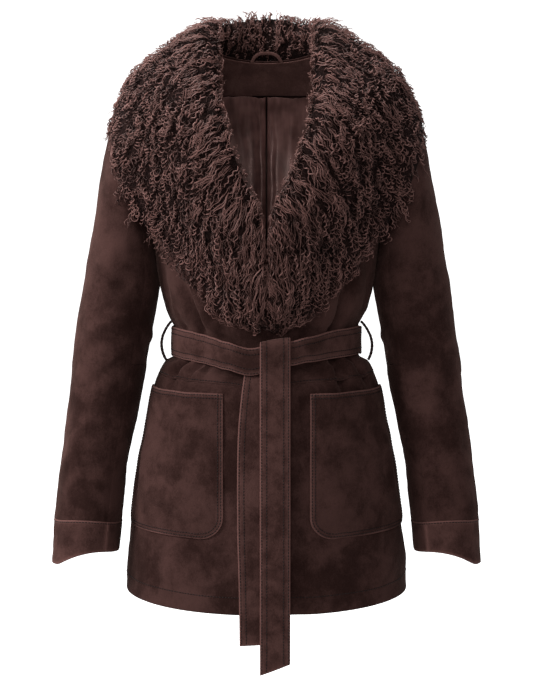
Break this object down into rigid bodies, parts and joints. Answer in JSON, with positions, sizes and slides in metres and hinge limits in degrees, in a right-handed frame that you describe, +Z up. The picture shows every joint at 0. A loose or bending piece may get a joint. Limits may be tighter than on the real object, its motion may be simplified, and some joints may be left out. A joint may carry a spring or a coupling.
{
  "type": "belted suede coat with fur shawl collar",
  "caption": "Hip-length suede coat, filled out and hollow, with a wide curly fur shawl collar, patch pockets and a knotted tie belt",
  "frame": {"origin": "between the shoulders, level with the base of the neck, where the wearer carries the coat", "axes": "+X towards the wearer's left, which is the viewer's right; -Y out of the front; +Z up"},
  "size_m": [0.601, 0.2936, 0.8986],
  "materials": {
    "suede": "brushed nap, matt",
    "fur": "long curly fur",
    "satin": "smooth satin"
  },
  "bodies": {
    "root": {"back_upper": "suede", "back_skirt": "suede", "front_chest_left": "suede", "front_chest_right": "suede", "front_waist_left": "suede", "front_waist_right": "suede", "front_skirt_left": "suede", "front_skirt_right": "suede", "topsleeve_head_left": "suede", "topsleeve_head_right": "suede", "topsleeve_high_left": "suede", "topsleeve_high_right": "suede", "topsleeve_low_left": "suede", "topsleeve_low_right": "suede", "undersleeve_high_left": "suede", "undersleeve_high_right": "suede", "undersleeve_low_left": "suede", "undersleeve_low_right": "suede", "cuff_left": "suede", "cuff_right": "suede", "collar_left": "fur", "collar_right": "fur", "back_neck_facing": "suede", "lining_back": "satin", "hanger_loop": "suede", "pocket_left": "suede", "pocket_right": "suede", "belt_band": "suede", "belt_tail_front": "suede", "belt_tail_back": "suede", "belt_loop_left": "suede", "belt_loop_right": "suede"}
  },
  "joints": []
}
